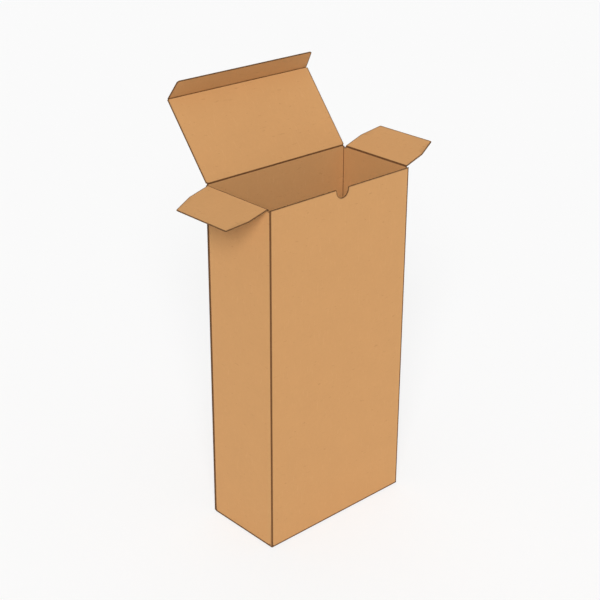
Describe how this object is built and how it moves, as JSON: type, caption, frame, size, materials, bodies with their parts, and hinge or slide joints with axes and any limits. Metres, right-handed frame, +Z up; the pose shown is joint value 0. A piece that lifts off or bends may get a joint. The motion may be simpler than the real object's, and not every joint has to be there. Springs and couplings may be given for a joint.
{
  "type": "open tuck-top folding carton",
  "caption": "Tall kraft folding carton, open at the top, with a hinged lid and tuck flap, dust flaps, a thumb notch and a glued flat bottom.",
  "frame": {"origin": "middle of the carton's base, on the surface that it stands on", "axes": "+Z up along the carton's height, +X to the right along its width, and the front panel with the thumb notch faces -Y"},
  "size_m": [0.1476, 0.0817, 0.25],
  "materials": {
    "kraft_board": "matt natural brown kraft board, bare on both faces, a little darker along cut edges and creases"
  },
  "bodies": {
    "carton": {"carton_body": "kraft_board"},
    "lid": {"lid_panel": "kraft_board"},
    "tuck": {"tuck_flap": "kraft_board"},
    "left_dust": {"left_dust_flap": "kraft_board"},
    "right_dust": {"right_dust_flap": "kraft_board"}
  },
  "joints": [
    {"name": "lid_hinge", "type": "hinge", "parent": "carton", "child": "lid", "pos_m": [0, 0.02525, 0.2006], "axis": [1, 0, 0], "range_deg": [-131.3, 128.7]},
    {"name": "tuck_hinge", "type": "hinge", "parent": "lid", "child": "tuck", "pos_m": [0, 0.05639, 0.23947], "axis": [1, 0, 0], "range_deg": [-30.71, 30.11]},
    {"name": "left_dust_hinge", "type": "hinge", "parent": "carton", "child": "left_dust", "pos_m": [-0.05, 0, 0.2], "axis": [0, 1, 0], "range_deg": [-65, 195]},
    {"name": "right_dust_hinge", "type": "hinge", "parent": "carton", "child": "right_dust", "pos_m": [0.05, 0, 0.2], "axis": [0, -1, 0], "range_deg": [-98.5, 161.5]}
  ],
  "couplings": [
    {"joint": "tuck_hinge", "follows": "lid_hinge", "ratio": 0.23388}
  ]
}
